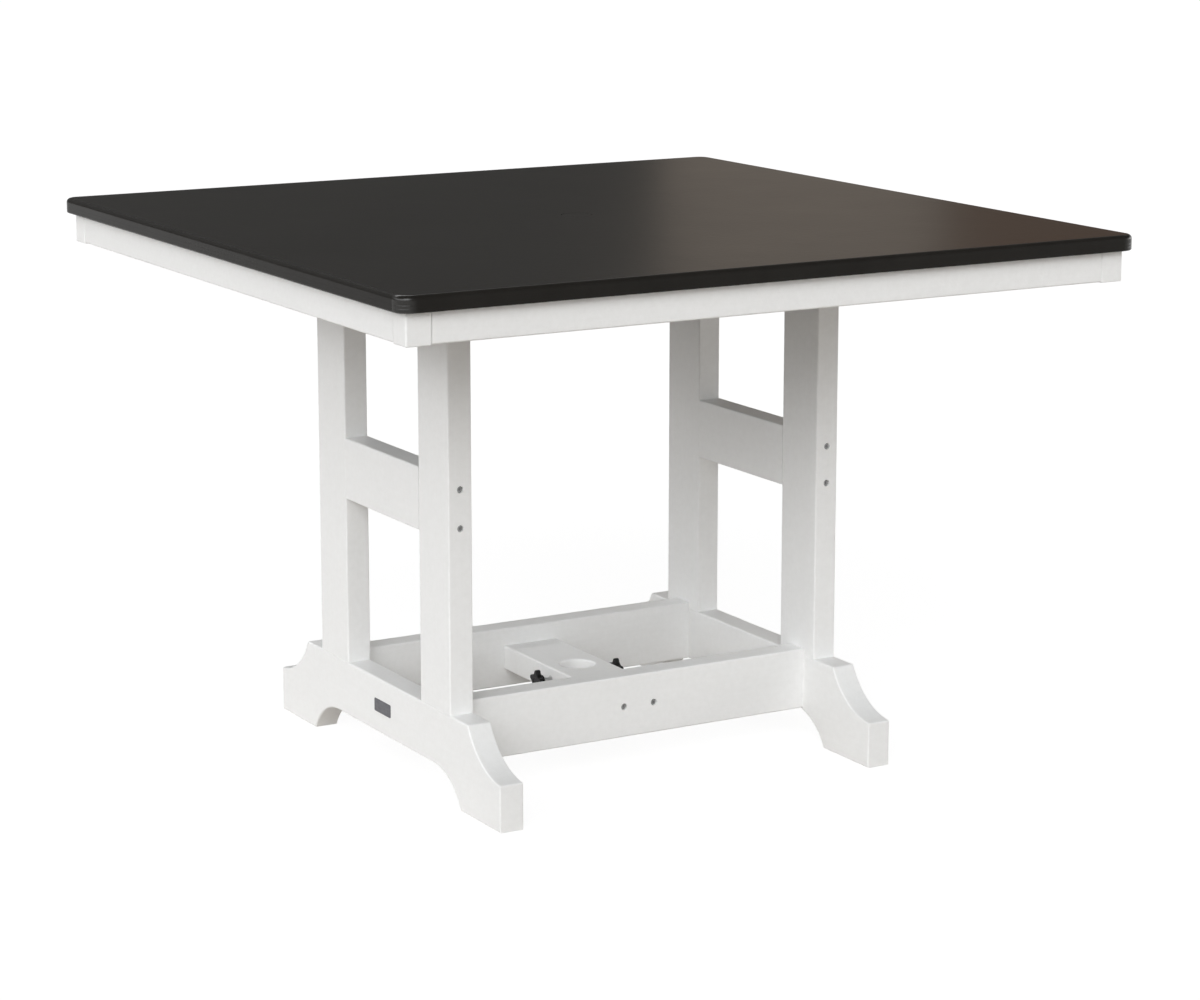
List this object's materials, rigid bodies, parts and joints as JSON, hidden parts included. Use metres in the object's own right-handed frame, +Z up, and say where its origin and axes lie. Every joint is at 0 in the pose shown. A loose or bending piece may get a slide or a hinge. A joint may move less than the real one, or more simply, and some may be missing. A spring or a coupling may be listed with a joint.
{
  "type": "garden table",
  "caption": "Square garden table with a dark slab top on a white apron frame, trestle legs with shaped feet, and a clamped umbrella pole socket between the stretchers.",
  "frame": {"origin": "on the floor, under the middle of the table top", "axes": "+X along the stretchers from left to right, +Y from front to rear, +Z up"},
  "size_m": [1.1176, 1.1176, 0.768],
  "materials": {
    "dark_top": "hammered satin",
    "white_lumber": "faint grain",
    "dowel_plastic": "plain",
    "black_knob": "moulded",
    "steel": "stainless",
    "grey_plate": "dark satin"
  },
  "bodies": {
    "frame": {"table_top": "dark_top", "tag_plate": "grey_plate", "apron_front": "white_lumber", "apron_rear": "white_lumber", "apron_left": "white_lumber", "apron_right": "white_lumber", "corner_block_front_left": "white_lumber", "corner_block_front_right": "white_lumber", "corner_block_rear_left": "white_lumber", "corner_block_rear_right": "white_lumber", "left_bearer": "white_lumber", "right_bearer": "white_lumber", "left_front_post": "white_lumber", "left_rear_post": "white_lumber", "right_front_post": "white_lumber", "right_rear_post": "white_lumber", "left_mid_rail": "white_lumber", "right_mid_rail": "white_lumber", "left_foot": "white_lumber", "right_foot": "white_lumber", "front_stretcher": "white_lumber", "rear_stretcher": "white_lumber", "umbrella_block": "white_lumber", "stretcher_dowels": "dowel_plastic", "apron_dowels": "dowel_plastic", "bearer_dowels": "dowel_plastic", "rail_screws": "steel", "block_screws": "steel", "foot_screws": "steel", "post_screws": "steel", "top_screws": "steel", "apron_screws": "steel", "left_threaded_insert": "steel", "right_threaded_insert": "steel"},
    "plug": {"umbrella_plug": "dark_top"},
    "left_stem": {"left_clamp_stem": "steel"},
    "left_knob": {"left_knob": "black_knob"},
    "right_stem": {"right_clamp_stem": "steel"},
    "right_knob": {"right_knob": "black_knob"}
  },
  "joints": [
    {"name": "plug_lift", "type": "slide", "parent": "frame", "child": "plug", "axis": [0, 0, 1], "range_m": [0, 0.06]},
    {"name": "left_clamp_travel", "type": "slide", "parent": "frame", "child": "left_stem", "axis": [1, 0, 0], "range_m": [-0.0051, 0.0076]},
    {"name": "left_knob_turn", "type": "hinge", "parent": "left_stem", "child": "left_knob", "pos_m": [-0.066, 0, 0.09165], "axis": [1, 0, 0], "range_deg": [-1440, 2160]},
    {"name": "right_clamp_travel", "type": "slide", "parent": "frame", "child": "right_stem", "axis": [-1, 0, 0], "range_m": [-0.0051, 0.0076]},
    {"name": "right_knob_turn", "type": "hinge", "parent": "right_stem", "child": "right_knob", "pos_m": [0.066, 0, 0.09165], "axis": [-1, 0, 0], "range_deg": [-1440, 2160]}
  ],
  "couplings": [
    {"joint": "left_clamp_travel", "follows": "left_knob_turn", "m_per_rad": 0.00019894},
    {"joint": "right_clamp_travel", "follows": "right_knob_turn", "m_per_rad": 0.00019894}
  ]
}
